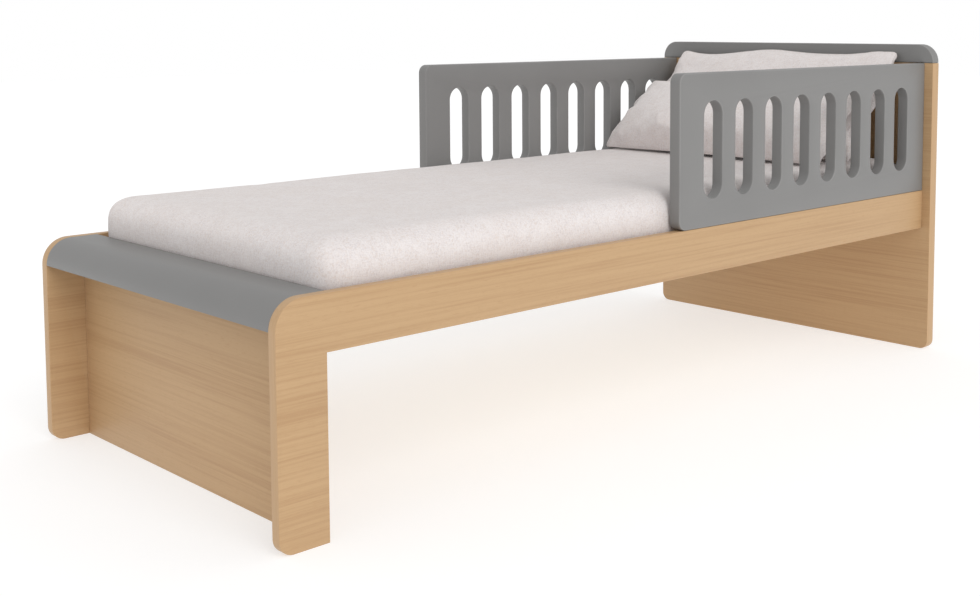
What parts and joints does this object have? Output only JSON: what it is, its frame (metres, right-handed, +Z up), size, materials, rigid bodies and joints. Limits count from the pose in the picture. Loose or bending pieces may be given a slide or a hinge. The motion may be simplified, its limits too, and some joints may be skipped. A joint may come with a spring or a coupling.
{
  "type": "toddler bed",
  "caption": "Low toddler bed in pale oak board with grey cap, headboard top and slotted guard rails on the head half, slatted base, covered mattress and loose pillows.",
  "frame": {"origin": "on the floor, under the middle of the bed's length and width", "axes": "+X along the bed towards the headboard, +Y to the left as seen from the foot end looking at the headboard, +Z up"},
  "size_m": [1.735, 0.796, 0.696],
  "materials": {
    "oak_board": "satin oak-grain laminate, grain along the bed",
    "grey_lacquer": "satin grey lacquer on fibreboard",
    "pine": "planed untreated pine",
    "beech": "fluted beech dowel",
    "zinc_steel": "zinc-plated steel",
    "woven_cover": "off-white mottled woven cover",
    "pillow_fabric": "off-white mottled woven pillow case",
    "foam": "foam block"
  },
  "bodies": {
    "frame": {"left_side_panel": "oak_board", "right_side_panel": "oak_board", "footboard_panel": "oak_board", "headboard_panel": "oak_board", "foot_cap": "grey_lacquer", "headboard_top": "grey_lacquer", "left_guard_rail": "grey_lacquer", "right_guard_rail": "grey_lacquer", "slat_01": "pine", "slat_02": "pine", "slat_03": "pine", "slat_04": "pine", "slat_05": "pine", "slat_06": "pine", "slat_07": "pine", "slat_08": "pine", "slat_09": "pine", "slat_10": "pine", "slat_11": "pine", "slat_12": "pine", "slat_13": "pine", "left_slat_ledger": "pine", "right_slat_ledger": "pine", "left_lower_rail_bolt": "zinc_steel", "left_lower_rail_nut": "zinc_steel", "left_upper_rail_bolt": "zinc_steel", "left_upper_rail_nut": "zinc_steel", "left_guard_head_bolt": "zinc_steel", "left_guard_head_nut": "zinc_steel", "left_guard_foot_bolt": "zinc_steel", "left_guard_foot_nut": "zinc_steel", "right_lower_rail_bolt": "zinc_steel", "right_lower_rail_nut": "zinc_steel", "right_upper_rail_bolt": "zinc_steel", "right_upper_rail_nut": "zinc_steel", "right_guard_head_bolt": "zinc_steel", "right_guard_head_nut": "zinc_steel", "right_guard_foot_bolt": "zinc_steel", "right_guard_foot_nut": "zinc_steel", "left_lower_cam": "zinc_steel", "left_lower_cam_pin": "zinc_steel", "left_upper_cam": "zinc_steel", "left_upper_cam_pin": "zinc_steel", "right_lower_cam": "zinc_steel", "right_lower_cam_pin": "zinc_steel", "right_upper_cam": "zinc_steel", "right_upper_cam_pin": "zinc_steel", "left_guard_foot_dowel": "beech", "left_guard_head_dowel": "beech", "left_cap_dowel": "beech", "left_top_dowel": "beech", "right_guard_foot_dowel": "beech", "right_guard_head_dowel": "beech", "right_cap_dowel": "beech", "right_top_dowel": "beech"},
    "mattress": {"mattress_cover": "woven_cover", "mattress_core": "foam"},
    "rear_pillow": {"rear_pillow": "pillow_fabric"},
    "front_pillow": {"front_pillow": "pillow_fabric"}
  },
  "joints": [
    {"name": "mattress_lift", "type": "slide", "parent": "frame", "child": "mattress", "axis": [0, 0, 1], "range_m": [0, 0.45]},
    {"name": "rear_pillow_lift", "type": "slide", "parent": "mattress", "child": "rear_pillow", "axis": [0, 0, 1], "range_m": [0, 0.3]},
    {"name": "front_pillow_lift", "type": "slide", "parent": "rear_pillow", "child": "front_pillow", "axis": [0, 0, 1], "range_m": [0, 0.3]}
  ]
}
